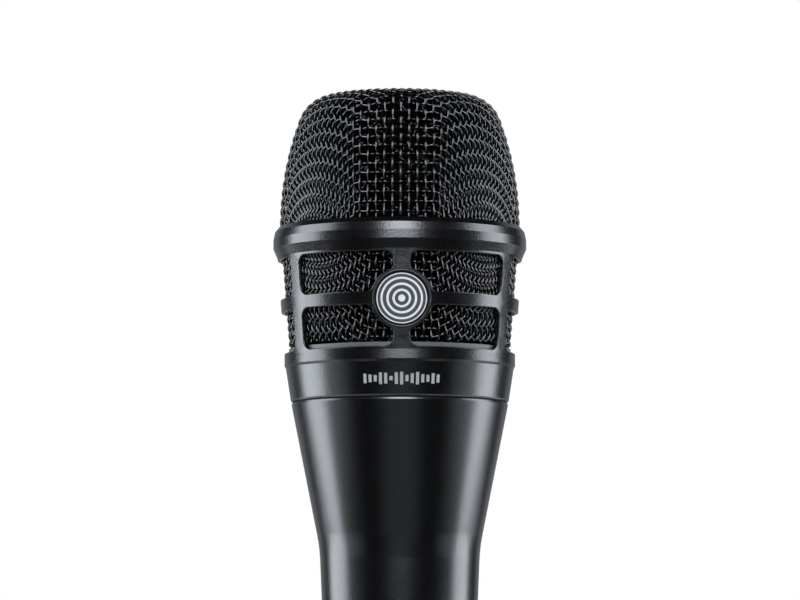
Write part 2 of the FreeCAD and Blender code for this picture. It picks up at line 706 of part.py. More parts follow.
def all_parts():
    lead_places = ((-1.6, 0.0), (1.6, 0.0))
    board_leads = ((-4.5, 0.0), (0.0, 0.0), (4.5, 0.0))
    leads_top = CARTRIDGE_Z - FIT_GAP - STRIP_T
    liner_outer = MESH_T + LINER_GAP
    parts = {
        "handle_shell": handle_shell(),
        "neck_thread_ring": neck_thread_ring(),
        "shock_mount_seat": shock_mount_seat(),
        "shock_mount": shock_mount(),
        "connector_sleeve": connector_sleeve(),
        "connector_insulator": connector_insulator(),
        "connector_screw": connector_screw(),
        "earth_lug": earth_lug(),
        "contact_board": contact_board(),
        "board_parts": board_parts(),
        "transformer_core": transformer_core(),
        "transformer_winding": transformer_winding(),
        "transformer_holder": transformer_holder(),
        "handle_leads": straight_leads(board_leads, BOARD_Z[1], TRANSFORMER_Z[0]),
        "cartridge_leads": straight_leads(lead_places, TRANSFORMER_Z[1], leads_top),
        "seal_ring": seal_ring(),
        "grille_mesh": cup(0.0, MESH_T, MESH_SPLIT_Z),
        "lower_mesh": lower_mesh(),
        "windscreen_liner": cup(liner_outer, liner_outer + LINER_T, SKIRT_FOOT_Z),
        "grille_cage": grille_cage(),
        "grille_ring": grille_ring(),
        "badge": badge(),
        "badge_ring": badge_ring(),
        "head_thread_ring": head_thread_ring(),
        "mesh_clamp_ring": mesh_clamp_ring(),
        "cartridge_rear_cap": cartridge_rear_cap(),
        "cartridge_housing": cartridge_housing(),
        "terminal_strip": terminal_strip(),
        "rear_diaphragm": diaphragm(REAR_DIAPHRAGM_Z, -1),
        "rear_clamp_ring": ring(INNER_R, CLAMP_BORE_R, *REAR_CLAMP_Z),
        "rear_chamber_cup": rear_chamber_cup(),
        "magnet_yoke": yoke(),
        "magnet": ring(MAGNET_R[1], MAGNET_R[0], *MAGNET_Z),
        "top_plate": ring(TOP_PLATE_R, TOP_PLATE_BORE_R, *TOP_PLATE_Z),
        "humbucking_coil": ring(HUM_COIL_R[1], HUM_COIL_R[0], *HUM_COIL_Z),
        "motor_frame": ring(INNER_R, MOTOR_FRAME_BORE_R, *MOTOR_FRAME_Z),
        "voice_coil": ring(COIL_R[1], COIL_R[0], *VOICE_COIL_Z),
        "front_diaphragm": diaphragm(FRONT_DIAPHRAGM_Z, 1),
        "front_clamp_ring": ring(INNER_R, CLAMP_BORE_R, *FRONT_CLAMP_Z),
        "resonator_plate": resonator_plate(),
        "front_cloth": disc(FRONT_CLOTH_R, *FRONT_CLOTH_Z),
        "front_cap": front_cap(),
    }
    for number, (place, tip_z) in enumerate(zip(pin_places(), PIN_TIP_Z), start=1):
        parts["contact_pin_" + str(number)] = contact_pin(place, tip_z)
    return parts


os.makedirs("parts", exist_ok=True)
for part_name, part_shape in all_parts().items():
    save(part_name, part_shape)
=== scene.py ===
"""Looks of the handheld vocal microphone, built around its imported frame.

Metres. The microphone stands on its tail at the origin, +Z runs up to the head and the badge
faces -Y.
"""

import json
import math

import bpy
import numpy as np
from mathutils import Matrix, Vector, kdtree


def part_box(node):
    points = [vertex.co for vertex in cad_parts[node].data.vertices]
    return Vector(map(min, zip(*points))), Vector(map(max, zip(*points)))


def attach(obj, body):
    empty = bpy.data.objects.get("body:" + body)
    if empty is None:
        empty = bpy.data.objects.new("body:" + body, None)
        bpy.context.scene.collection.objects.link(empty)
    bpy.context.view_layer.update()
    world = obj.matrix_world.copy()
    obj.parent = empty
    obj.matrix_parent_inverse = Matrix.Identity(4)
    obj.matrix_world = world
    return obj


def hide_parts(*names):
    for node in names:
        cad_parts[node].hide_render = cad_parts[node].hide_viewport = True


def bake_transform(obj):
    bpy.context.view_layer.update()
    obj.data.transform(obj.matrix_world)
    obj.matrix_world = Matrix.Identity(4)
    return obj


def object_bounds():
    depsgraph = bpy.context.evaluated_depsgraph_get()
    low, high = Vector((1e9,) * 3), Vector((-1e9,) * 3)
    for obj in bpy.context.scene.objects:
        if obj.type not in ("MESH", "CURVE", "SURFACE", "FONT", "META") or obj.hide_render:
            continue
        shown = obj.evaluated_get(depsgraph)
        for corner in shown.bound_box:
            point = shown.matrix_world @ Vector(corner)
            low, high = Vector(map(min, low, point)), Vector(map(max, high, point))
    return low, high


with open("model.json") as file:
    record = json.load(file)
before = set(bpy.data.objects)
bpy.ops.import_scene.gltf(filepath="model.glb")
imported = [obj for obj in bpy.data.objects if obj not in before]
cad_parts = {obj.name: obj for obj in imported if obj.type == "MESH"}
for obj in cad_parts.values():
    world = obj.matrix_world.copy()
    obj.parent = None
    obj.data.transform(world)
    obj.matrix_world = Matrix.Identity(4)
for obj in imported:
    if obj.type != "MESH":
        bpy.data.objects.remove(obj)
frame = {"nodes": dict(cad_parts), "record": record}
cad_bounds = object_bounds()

MM = 0.001

# ---- driving dimensions, millimetres unless said otherwise --------------------------------------

# woven dome: three tangent arcs over a conical skirt
CROWN_Z = cad_bounds[1][2] / MM
TOP_ARC_R = 139.0
SHOULDER_ARC_R = 7.3
SIDE_ARC_R = 62.0
DOME_R = 24.35
DOME_FOOT_Z = 163.3
SKIRT_FOOT_R = 22.4
SKIRT_FOOT_Z = 138.2
DOME_END_Z = 158.5              # the dome's wires end here, inside the bezel
BASKET_TOP_Z = 158.0

# wire net
WIRE_R = 0.21
CRIMP = 0.27                    # wave of a wire above and below the net's middle surface
NET_INSET = 0.5                 # from the outer face of the CAD shell to the middle surface
SAMPLES_PER_PITCH = 4
WIRE_SIDES = 6
PATH_OFFSET = 0.5               # wires run half a pitch off the centre lines, so none lies on one
DOME_TURN_DEG = -2.5            # the cloth was drawn a little out of line with the badge
BASKET_TURN_DEG = 1.0
CORNER_SLOPES = (1.1, 0.35)     # how fast wires cross a corner zone, at its two edges
LEAST_WALL_R = 1.45             # smallest radius taken for the wall pattern, in half strips

# search for the places of the wires
TABLE_SIZE = (150, 90)          # levels and turns in the table of first guesses
NEWTON_STEPS = 25
STEP_LIMITS = (0.6, 0.05)       # largest step in level (millimetres) and in turn (radians)
PROBE = 1e-4                    # small change in level or turn, to measure slopes with
LEAST_AREA = 1e-6               # smallest determinant divided by
COUNT_ERROR = 0.02              # a place is good when its counts are this close
LEVEL_MARGIN = 1.0              # how far past the net's edges the search may stray
TURN_MARGIN = 0.01

# liner and the foam's loose strands
LINER_INSET = (1.3, 3.3)        # from the CAD shell's outer face to the liner's two faces
LINER_STEP = 0.6
LINER_TURNS = 144
STRAND_INSET = 1.12
STRAND_STEP = 0.4
STRAND_COUNT = 4200
STRAND_SEED = 7
STRAND_R = 0.08
STRAND_SIDES = 4
STRAND_HALF_LENGTH = (0.5, 1.2) # of the shortest and the longest strand
STRAND_DROP = 0.2               # how far a strand's ends bend in
AXIS_GAP = 0.02                 # turned outlines stay this far off the axis

# badge and name band
BADGE_TILT_DEG = 4.17
BADGE_R = 5.03
BADGE_T = 0.35
BADGE_SEAT_R = 5.36             # matte black ring around the disc: painted shade of the boss's recess
BADGE_SEAT_DEPTH = 0.22
BADGE_EDGE = 0.03               # width of the slopes at the disc's edge and the grooves' sides
BADGE_TURNS = 96
GROOVE_DEPTH = 0.09
BADGE_GROOVES = ((0.7, 1.4), (1.85, 2.6), (3.05, 3.8), (4.2, 4.8))
METAL, LACQUER, SHADE_RING = 0, 1, 2  # material slots of the disc
BAND_FOOT = (22.03, 127.87)     # radius and height at the bottom and top of the cone
BAND_TOP = (23.02, 134.3)
MARK_Z = 130.9
MARK_HEIGHT = 2.6
MARK_BARS = 15
MARK_PITCH = 1.05
MARK_BAR_WIDTH = 0.62
MARK_PROUD = 0.03
MARK_RIPPLE = 0.95              # phase between one bar's height and the next, in radians
MARK_TAPER = 2.0                # phase across the whole row, which lowers its ends
MARK_LEAST = 0.3                # share of the full height that every bar has

# rubber mount, from the foot in its seat up to the cartridge
BELLOWS_TURNS = 96
BELLOWS_CUT = 0.2               # share of each edge cut off at its ends, to round the corners
BELLOWS_CORNERS = (
    (18.3, 135.25), (18.3, 136.2), (15.6, 136.6), (15.6, 137.6), (17.0, 138.6), (14.6, 139.9),
    (14.6, 140.95), (9.6, 140.95), (9.6, 140.1), (13.2, 139.4), (15.2, 138.5), (14.3, 137.6),
    (14.3, 135.25),
)

# leads
LEAD_ENDS_Z = (74.0, 140.02)
LEAD_TURNS = 4
LEAD_R = 0.5
LEAD_SIDES = 12
LEAD_STATIONS = 161
LEAD_SPREAD = 1.6               # from the axis to a lead at the solder joints
LEAD_CLOSE = 0.62               # the same in the twisted length
LEAD_SPLAY = 8.0                # height over which the pair spreads at each end

# materials
RAMP_ENDS = (0.3, 0.7)          # pattern values where a colour ramp begins and ends
BUMP_DEPTH = 0.05

# camera, metres (lens and sensor in millimetres)
CAMERA_PLACE = (-0.0162, -0.99987, 0.063)
CAMERA_AIM = (0.00004, 0.0, 0.1483)
CAMERA_LENS = 223.2
CAMERA_SENSOR = 36.0

# stage, metres
FLOOR_SIZE = 1.9                # ends short of the side softboxes
FLOOR_GLOW = ((0.95, 0.98, 1.0, 1), 0.22)       # colour and strength
SURROUND = ((0.9, 0.95, 1.0, 1), 0.012)
LIGHT_COLOUR = (0.90, 0.965, 1.04)
SIDE_BOX_HEIGHT = 1.40
SIDE_BOX_Z = 0.535
SIDE_BOX_LEAN = 25.0            # tops of the side softboxes lean to the front, in degrees
FRONT_BOX_Z = 0.876
REAR_BOX_SIZE = 2.4
REAR_BOX_Z = 0.3
CARD_Z = 0.002                  # cards lie just above the floor


# ---- camera -------------------------------------------------------------------------------------

def add_camera():
    """Long lens a metre away, a little below the head and looking slightly up."""
    data = bpy.data.cameras.new("camera")
    data.lens = CAMERA_LENS
    data.sensor_width = CAMERA_SENSOR
    camera = bpy.data.objects.new("camera", data)
    bpy.context.scene.collection.objects.link(camera)
    camera.location = CAMERA_PLACE
    view = Vector(CAMERA_AIM) - camera.location
    camera.rotation_euler = view.to_track_quat("-Z", "Y").to_euler()
    bpy.context.scene.camera = camera


# ---- mesh helpers -------------------------------------------------------------------------------

def add_piece(name, points, faces, body, materials, face_materials=None, smooth=True):
    """New piece from points in millimetres, riding on a body unless that is None."""
    mesh = bpy.data.meshes.new(name)
    mesh.from_pydata([tuple(point) for point in np.asarray(points) * MM], [], faces)
    for item in materials:
        mesh.materials.append(item)
    if face_materials is not None:
        mesh.polygons.foreach_set("material_index", face_materials)
    mesh.polygons.foreach_set("use_smooth", [smooth] * len(mesh.polygons))
    mesh.update()
    piece = bpy.data.objects.new(name, mesh)
    bpy.context.scene.collection.objects.link(piece)
    if body is not None:
        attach(piece, body)
    return piece


def lathe_mesh(outline, turns):
    """Closed ring of quads from an outline of (radius, height) points that stays off the axis."""
    angles = np.linspace(0, 2 * math.pi, turns, endpoint=False)
    points = [
        (radius * math.cos(angle), radius * math.sin(angle), height)
        for angle in angles for radius, height in outline
    ]
    count = len(outline)
    faces = []
    for turn in range(turns):
        here, beyond = turn * count, (turn + 1) % turns * count
        for index in range(count):
            following = (index + 1) % count
            faces.append((here + index, beyond + index, beyond + following, here + following))
    return points, faces


def tube_mesh(paths, radius, sides):
    """Capped tubes along paths; each path is (points, normals), with the normals square-ish to it."""
    all_points = []
    faces = []
    start = 0
    angles = np.arange(sides) * 2 * math.pi / sides
    for points, normals in paths:
        along = np.gradient(points, axis=0)
        along /= np.linalg.norm(along, axis=1, keepdims=True)
        up = normals - along * np.sum(normals * along, axis=1, keepdims=True)
        up /= np.linalg.norm(up, axis=1, keepdims=True)
        across = np.cross(along, up)
        spokes = (
            np.cos(angles)[None, :, None] * up[:, None, :]
            + np.sin(angles)[None, :, None] * across[:, None, :]
        )
        all_points.append((points[:, None, :] + radius * spokes).reshape(-1, 3))
        count = len(points)
        for station in range(count - 1):
            low = start + station * sides
            high = low + sides
            for side in range(sides):
                beside = (side + 1) % sides
                faces.append((low + side, low + beside, high + beside, high + side))
        faces.append(tuple(start + side for side in reversed(range(sides))))
        faces.append(tuple(start + (count - 1) * sides + side for side in range(sides)))
        start += count * sides
    return np.concatenate(all_points), faces


# ---- drawn wire net -----------------------------------------------------------------------------

def skirt_r(z):
    """Radius of the conical skirt below the dome."""
    return DOME_R - (DOME_FOOT_Z - z) * (DOME_R - SKIRT_FOOT_R) / (DOME_FOOT_Z - SKIRT_FOOT_Z)


def arc_crossing(first, first_r, second, second_r):
    """Outer crossing of two circles in the (radius, height) plane."""
    first, second = np.array(first), np.array(second)
    across = second - first
    distance = np.hypot(*across)
    along = (first_r ** 2 - second_r ** 2 + distance ** 2) / (2 * distance)
    offset = math.sqrt(first_r ** 2 - along ** 2)
    unit = across / distance
    square = np.array((-unit[1], unit[0]))
    crossings = [first + along * unit + turn * offset * square for turn in (-1, 1)]
    return max(crossings, key=lambda crossing: crossing[0])


def dome_line(inset, foot_z, step=0.05):
    """Meridian of the dome and skirt as points every step, with its outward normals."""
    top = (0.0, CROWN_Z - TOP_ARC_R)
    side = (DOME_R - SIDE_ARC_R, DOME_FOOT_Z)
    shoulder = arc_crossing(top, TOP_ARC_R - SHOULDER_ARC_R, side, SIDE_ARC_R - SHOULDER_ARC_R)
    top_angle = math.atan2(shoulder[1] - top[1], shoulder[0] - top[0])
    side_angle = math.atan2(shoulder[1] - side[1], shoulder[0] - side[0])
    arcs = (
        (top, TOP_ARC_R, math.pi / 2, top_angle),
        (shoulder, SHOULDER_ARC_R, top_angle, side_angle),
        (side, SIDE_ARC_R, side_angle, 0.0),
    )
    points = []
    normals = []
    for centre, radius, start, end in arcs:
        count = max(3, int(radius * abs(end - start) / step))
        for angle in np.linspace(start, end, count, endpoint=False):
            normal = np.array((math.cos(angle), math.sin(angle)))
            points.append(np.array(centre) + (radius - inset) * normal)
            normals.append(normal)
    for z in np.arange(DOME_FOOT_Z, foot_z - step, -step):
        points.append(np.array((skirt_r(z) - inset, z)))
        normals.append(np.array((1.0, 0.0)))
    return np.array(points), np.array(normals)


class DomeNet:
    """Cloth drawn over the dome: square on the crown and down four strips, sheared between them."""

    pitch = 1.62
    strip_half = 7.8
    crown_reach = 8.0
    stretch = 0.0105            # growth of the row pitch per millimetre beyond the crown
    blend = (12.0, 26.0)        # reach over which the crown's pattern turns into the wall's

    def __init__(self):
        self.line, self.normal = dome_line(NET_INSET, DOME_END_Z)
        steps = np.linalg.norm(np.diff(self.line, axis=0), axis=1)
        self.reach = np.concatenate(([0.0], np.cumsum(steps)))
        self.low, self.high = 0.0, self.reach[-1]
        self.strip_count = self.strip_half / self.pitch

    def place(self, t):
        return np.interp(t, self.reach, self.line[:, 0]), np.interp(t, self.reach, self.line[:, 1])

    def outward(self, t):
        return np.interp(t, self.reach, self.normal[:, 0]), np.interp(t, self.reach, self.normal[:, 1])

    def rows(self, t):
        beyond = np.maximum(t - self.crown_reach, 0)
        stretched = np.log1p(self.stretch * beyond / self.pitch) / self.stretch
        return np.minimum(t, self.crown_reach) / self.pitch + stretched

    def counts(self, t, phi):
        """Wires crossed from the crown's centre, across and along, at a place on the dome."""
        share = np.clip((t - self.blend[0]) / (self.blend[1] - self.blend[0]), 0, 1)
        share = share * share * (3 - 2 * share)
        across, along = wall_counts(self, t, phi)
        crown_across = t * np.sin(phi) / self.pitch
        crown_along = t * np.cos(phi) / self.pitch
        return (
            crown_across + share * (across - crown_across),
            crown_along + share * (along - crown_along),
        )


class BasketNet:
    """Cloth drawn the other way up into the cone behind the windows."""

    pitch = 1.55
    strip_half = 6.2
    row_pitch = 1.64
    rows_at = (142.0, 17.2)     # a height, and the rows counted up to it

    def __init__(self):
        self.low, self.high = SKIRT_FOOT_Z + WIRE_R, BASKET_TOP_Z - WIRE_R
        self.strip_count = self.strip_half / self.pitch

    def place(self, z):
        return skirt_r(z) - NET_INSET, z

    def outward(self, z):
        return np.ones_like(z), np.zeros_like(z)

    def rows(self, z):
        return self.rows_at[1] + (z - self.rows_at[0]) / self.row_pitch

    def counts(self, z, phi):
        return wall_counts(self, z, phi)


def corner_share(s):
    """Share of the wires crossed at a place across a corner zone."""
    first, last = CORNER_SLOPES
    return (first + last - 2) * s ** 3 + (3 - 2 * first - last) * s ** 2 + first * s


def wall_counts(net, level, phi):
    """Wires crossed on the wall: square inside the strips, chevrons in the corner between them."""
    radius = np.maximum(net.place(level)[0], net.strip_half * LEAST_WALL_R)
    rows = net.rows(level)
    edge = np.arcsin(net.strip_half / radius)
    s = np.clip((phi - edge) / (math.pi / 2 - 2 * edge), 0, 1)
    spare = rows - net.strip_count
    across = net.strip_count + spare * corner_share(s)
    along = net.strip_count + spare * corner_share(1 - s)
    across = np.where(phi < edge, radius * np.sin(phi) / net.pitch, across)
    along = np.where(phi > math.pi / 2 - edge, radius * np.cos(phi) / net.pitch, along)
    return across, along


def find_places(net, across, along):
    """Where on the net these wire counts are, by Newton's method from the nearest table entry."""
    level_count, turn_count = TABLE_SIZE
    levels, turns = np.meshgrid(
        np.linspace(net.low, net.high, level_count), np.linspace(0, math.pi / 2, turn_count),
        indexing="ij",
    )
    levels, turns = levels.ravel(), turns.ravel()
    table_across, table_along = net.counts(levels, turns)
    tree = kdtree.KDTree(len(levels))
    for index, pair in enumerate(zip(table_across, table_along)):
        tree.insert((*pair, 0.0), index)
    tree.balance()
    nearest = [tree.find((a, b, 0.0))[1] for a, b in zip(across, along)]
    level, phi = levels[nearest], turns[nearest]
    most_level, most_phi = STEP_LIMITS
    for _ in range(NEWTON_STEPS):
        a, b = net.counts(level, phi)
        a_level, b_level = net.counts(level + PROBE, phi)
        a_phi, b_phi = net.counts(level, phi + PROBE)
        slope = np.array(((a_level - a, a_phi - a), (b_level - b, b_phi - b))) / PROBE
        short_a, short_b = across - a, along - b
        area = slope[0, 0] * slope[1, 1] - slope[0, 1] * slope[1, 0]
        area = np.where(np.abs(area) < LEAST_AREA, LEAST_AREA, area)
        level_step = (slope[1, 1] * short_a - slope[0, 1] * short_b) / area
        phi_step = (slope[0, 0] * short_b - slope[1, 0] * short_a) / area
        level = level + np.clip(level_step, -most_level, most_level)
        level = np.clip(level, net.low - LEVEL_MARGIN, net.high + LEVEL_MARGIN)
        phi = phi + np.clip(phi_step, -most_phi, most_phi)
        phi = np.clip(phi, -TURN_MARGIN, math.pi / 2 + TURN_MARGIN)
    a, b = net.counts(level, phi)
    close = np.hypot(a - across, b - along) < COUNT_ERROR
    good = close & (level >= net.low) & (level <= net.high)
    return level, phi, good


def net_wires(net, lengthwise, turn_deg=0.0):
    """Paths of one family of wires. Lengthwise wires run front to back over the crown."""
    reach = int(net.rows(net.high)) + 2
    fixed = np.arange(reach) + PATH_OFFSET
    moving = np.arange(0, reach * SAMPLES_PER_PITCH + 1) / SAMPLES_PER_PITCH
    pairs = np.array([(a, b) for a in fixed for b in moving])
    across, along = (pairs[:, 0], pairs[:, 1]) if lengthwise else (pairs[:, 1], pairs[:, 0])
    level, phi, good = find_places(net, across, along)
    radius, height = net.place(level)
    out_r, out_z = net.outward(level)
    shape = (len(fixed), len(moving))
    quarter = [grid.reshape(shape) for grid in (radius, height, phi, out_r, out_z, good)]
    paths = []
    signed = np.concatenate((-moving[:0:-1], moving))
    order = np.concatenate((np.arange(len(moving) - 1, 0, -1), np.arange(len(moving))))
    for row, wire in enumerate(fixed):
        radius, height, phi, out_r, out_z, good = (grid[row, order] for grid in quarter)
        for hand in (-1, 1):
            parity = (-1) ** int(round(hand * wire - PATH_OFFSET))
            wave = np.cos(math.pi * (signed - PATH_OFFSET)) * (1 if lengthwise else -1)
            lift = CRIMP * parity * wave
            side = np.where(signed < 0, -1.0, 1.0)
            x_sign, y_sign = (hand, -side) if lengthwise else (side, -hand)
            direction = np.stack((x_sign * np.sin(phi), y_sign * np.cos(phi)), axis=1)
            normals = np.column_stack((direction * out_r[:, None], out_z))
            points = np.column_stack((direction * radius[:, None], height)) + normals * lift[:, None]
            paths += contiguous_runs(turned(points, turn_deg), turned(normals, turn_deg), good)
    return paths


def contiguous_runs(points, normals, good):
    """The stretches of a wire that lie on the net."""
    edges = np.flatnonzero(np.diff(np.concatenate(([0], good.astype(int), [0]))))
    return [
        (points[start:end], normals[start:end])
        for start, end in zip(edges[::2], edges[1::2]) if end - start > 2
    ]


def turned(vectors, degrees):
    """Vectors turned about the microphone's axis."""
    return vectors @ np.array(Matrix.Rotation(math.radians(degrees), 3, "Z")).T


def add_net(name, net, node, turn_deg, material):
    """Both families of wires of a net, as two pieces in place of its plain CAD shell."""
    for family, lengthwise in (("lengthwise", True), ("crosswise", False)):
        points, faces = tube_mesh(net_wires(net, lengthwise, turn_deg), WIRE_R, WIRE_SIDES)
        piece = add_piece(name + "_" + family, points, faces, "head", [material])
        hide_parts(node)


# ---- liner, badge and mark ----------------------------------------------------------------------

def add_liner(material):
    """Foam cup faced with cloth, close behind the wires."""
    outer, _ = dome_line(LINER_INSET[0], SKIRT_FOOT_Z, LINER_STEP)
    inner, _ = dome_line(LINER_INSET[1], SKIRT_FOOT_Z, LINER_STEP)
    outer[0, 0] = inner[0, 0] = AXIS_GAP
    outline = [tuple(point) for point in outer] + [tuple(point) for point in inner[::-1]]
    points, faces = lathe_mesh(outline, LINER_TURNS)
    piece = add_piece("windscreen_cloth", points, faces, "head", [material])
    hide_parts("windscreen_liner")


def add_strands(material):
    """Loose strands of the foam's open cells, seen between the wires."""
    line, outward = dome_line(STRAND_INSET, SKIRT_FOOT_Z, STRAND_STEP)
    spans = np.hypot(*np.diff(line, axis=0).T)
    middles = (line[1:] + line[:-1]) / 2
    area = np.cumsum(2 * math.pi * middles[:, 0] * spans)
    random = np.random.RandomState(STRAND_SEED)
    shortest, longest = STRAND_HALF_LENGTH
    steps = np.array((-1.0, 0.0, 1.0))[:, None]
    paths = []
    for share in (np.arange(STRAND_COUNT) + random.rand(STRAND_COUNT)) / STRAND_COUNT:
        index = int(np.searchsorted(area, share * area[-1]))
        turn, lie, tip = random.rand(3) * (2 * math.pi, math.pi, 1.0)
        length = shortest + (longest - shortest) * tip
        around = np.array((math.cos(turn), math.sin(turn), 0.0))
        up = np.array((0.0, 0.0, 1.0))
        sideways = np.cross(up, around)
        normal = outward[index, 0] * around + outward[index, 1] * up
        slope = outward[index, 1] * around - outward[index, 0] * up
        along = math.cos(lie) * sideways + math.sin(lie) * slope
        middle = middles[index, 0] * around + middles[index, 1] * up
        points = middle + steps * length * along - (steps * steps) * STRAND_DROP * normal
        paths.append((points, np.repeat(normal[None, :], 3, axis=0)))
    points, faces = tube_mesh(paths, STRAND_R, STRAND_SIDES)
    add_piece("foam_strands", points, faces, "head", [material])


def add_badge(metal, lacquer, shade_ring):
    """Turned disc with dark concentric grooves, lying in the boss in a matte black ring that is
    painted shade of the recess around it.
    """
    foot, face = -BADGE_T / 2, BADGE_T / 2
    floor = face - GROOVE_DEPTH
    seat = face - BADGE_SEAT_DEPTH
    outline = [(AXIS_GAP, foot), (BADGE_SEAT_R, foot), (BADGE_SEAT_R, seat), (BADGE_R, seat)]
    outline.append((BADGE_R - BADGE_EDGE, face))
    # the foot, the outer ring and the disc's rim take the painted recess shade
    fills = [SHADE_RING, SHADE_RING, SHADE_RING, SHADE_RING]
    for inner, outer in reversed(BADGE_GROOVES):
        outline += [
            (outer, face), (outer - BADGE_EDGE, floor), (inner + BADGE_EDGE, floor), (inner, face),
        ]
        fills += [METAL, LACQUER, LACQUER, LACQUER]
    outline.append((AXIS_GAP, face))
    fills += [METAL, METAL]
    points, faces = lathe_mesh(outline, BADGE_TURNS)
    low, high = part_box("badge")
    tilt = Matrix.Rotation(math.radians(90 + BADGE_TILT_DEG), 3, "X")
    centre = np.array((low + high) / 2) / MM
    points = np.array(points) @ np.array(tilt).T + centre
    materials = [metal, lacquer, shade_ring]
    piece = add_piece(
        "badge_disc", points, faces, "head", materials, fills * BADGE_TURNS,
        smooth=False)
    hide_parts("badge")


def band_r(z):
    """Radius of the name band's cone."""
    share = (z - BAND_FOOT[1]) / (BAND_TOP[1] - BAND_FOOT[1])
    return BAND_FOOT[0] + share * (BAND_TOP[0] - BAND_FOOT[0])


def add_mark(material):
    """Row of plain bars of different heights, printed on the name band."""
    points = []
    faces = []
    row_width = MARK_BARS * MARK_PITCH
    for index in range(MARK_BARS):
        middle = (index - (MARK_BARS - 1) / 2) * MARK_PITCH
        swell = abs(math.cos(index * MARK_RIPPLE)) * math.cos(middle / row_width * MARK_TAPER)
        half = MARK_HEIGHT / 2 * (MARK_LEAST + (1 - MARK_LEAST) * swell)
        start = len(points)
        for depth in (-MARK_PROUD, MARK_PROUD):
            for x, z in ((-1, -1), (1, -1), (1, 1), (-1, 1)):
                height = MARK_Z + z * half
                radius = band_r(height) + depth
                turn = (middle + x * MARK_BAR_WIDTH / 2) / band_r(MARK_Z)
                points.append((radius * math.sin(turn), -radius * math.cos(turn), height))
        faces += [tuple(start + corner for corner in face) for face in (
            (0, 3, 2, 1), (4, 5, 6, 7), (0, 1, 5, 4), (1, 2, 6, 5), (2, 3, 7, 6), (3, 0, 4, 7),
        )]
    add_piece("band_mark", points, faces, "head", [material], smooth=False)


# ---- parts that stretch between handle and cartridge ---------------------------------------------

def add_bellows(material):
    """Rubber shock mount: foot in the seat, one rolled fold, and a plate under the cartridge."""
    outline = np.array(BELLOWS_CORNERS)
    kept = 1 - BELLOWS_CUT
    for _ in range(2):
        ahead = np.roll(outline, -1, axis=0)
        near = kept * outline + BELLOWS_CUT * ahead
        far = BELLOWS_CUT * outline + kept * ahead
        outline = np.stack((near, far), axis=1).reshape(-1, 2)
    points, faces = lathe_mesh([tuple(point) for point in outline], BELLOWS_TURNS)
    piece = add_piece("shock_mount_bellows", points, faces, None, [material])
    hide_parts("shock_mount")
    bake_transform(piece)


def add_leads(red, black):
    """Twisted pair from the transformer up to the cartridge's terminals."""
    low, high = LEAD_ENDS_Z
    heights = np.linspace(low, high, LEAD_STATIONS)
    reach = np.interp(
        heights, (low, low + LEAD_SPLAY, high - LEAD_SPLAY, high),
        (LEAD_SPREAD, LEAD_CLOSE, LEAD_CLOSE, LEAD_SPREAD))
    paths = []
    for start in (0, math.pi):
        angle = start + (heights - low) / (high - low) * LEAD_TURNS * 2 * math.pi
        points = np.column_stack((reach * np.cos(angle), reach * np.sin(angle), heights))
        normals = np.column_stack((np.cos(angle), np.sin(angle), 0 * heights))
        paths.append((points, normals))
    points, faces = tube_mesh(paths, LEAD_R, LEAD_SIDES)
    half = len(faces) // 2
    piece = add_piece(
        "cartridge_lead_pair", points, faces, None, [red, black],
        [0] * half + [1] * half)
    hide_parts("cartridge_leads")
    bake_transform(piece)


# ---- materials ----------------------------------------------------------------------------------

def pattern_factor(nodes, links, pattern, scale):
    """Output socket of a pattern in object coordinates; scale is features per metre."""
    coords = nodes.new("ShaderNodeTexCoord").outputs["Object"]
    if pattern == "cells":
        texture = nodes.new("ShaderNodeTexVoronoi")
        texture.inputs["Scale"].default_value = scale
        links.new(coords, texture.inputs["Vector"])
        return texture.outputs["Distance"]
    if pattern in ("turned", "layers", "weave"):
        texture = nodes.new("ShaderNodeTexWave")
        texture.wave_type = "BANDS"
        texture.bands_direction = {"turned": "Z", "layers": "X", "weave": "DIAGONAL"}[pattern]
        texture.inputs["Scale"].default_value = scale
        texture.inputs["Distortion"].default_value = 0.6
        texture.inputs["Detail"].default_value = 1.0
        links.new(coords, texture.inputs["Vector"])
        return texture.outputs["Fac"]
    texture = nodes.new("ShaderNodeTexNoise")
    texture.inputs["Scale"].default_value = scale
    texture.inputs["Detail"].default_value = 3.0
    links.new(coords, texture.inputs["Vector"])
    return texture.outputs["Fac"]


def ramp(nodes, links, factor, low, high):
    """Colour ramp between two colours, given as (red, green, blue)."""
    node = nodes.new("ShaderNodeValToRGB")
    for element, position, colour in zip(node.color_ramp.elements, RAMP_ENDS, (low, high)):
        element.position = position
        element.color = (*colour, 1)
    links.new(factor, node.inputs["Fac"])
    return node.outputs["Color"]


def make_material(name, colours, roughness, pattern="grain", scale=900, metallic=0.0, bump=0.0,
                  bump_scale=5000, specular=0.5, sheen=0.0):
    """Principled surface whose colour and roughness vary with a pattern, with a fine bump."""
    material = bpy.data.materials.new(name)
    material.use_nodes = True
    nodes, links = material.node_tree.nodes, material.node_tree.links
    shader = nodes["Principled BSDF"]
    shader.inputs["Metallic"].default_value = metallic
    shader.inputs["Specular IOR Level"].default_value = specular
    shader.inputs["Sheen Weight"].default_value = sheen
    factor = pattern_factor(nodes, links, pattern, scale)
    links.new(ramp(nodes, links, factor, *colours), shader.inputs["Base Color"])
    spread = nodes.new("ShaderNodeMapRange")
    spread.inputs["To Min"].default_value = roughness[0]
    spread.inputs["To Max"].default_value = roughness[1]
    links.new(factor, spread.inputs["Value"])
    links.new(spread.outputs["Result"], shader.inputs["Roughness"])
    if bump:
        relief = nodes.new("ShaderNodeBump")
        relief.inputs["Strength"].default_value = bump
        relief.inputs["Distance"].default_value = BUMP_DEPTH * MM
        links.new(pattern_factor(nodes, links, pattern, bump_scale), relief.inputs["Height"])
        links.new(relief.outputs["Normal"], shader.inputs["Normal"])
    return material


def grey(value):
    """Slightly cool grey."""
    return (value, value, value * 1.04)


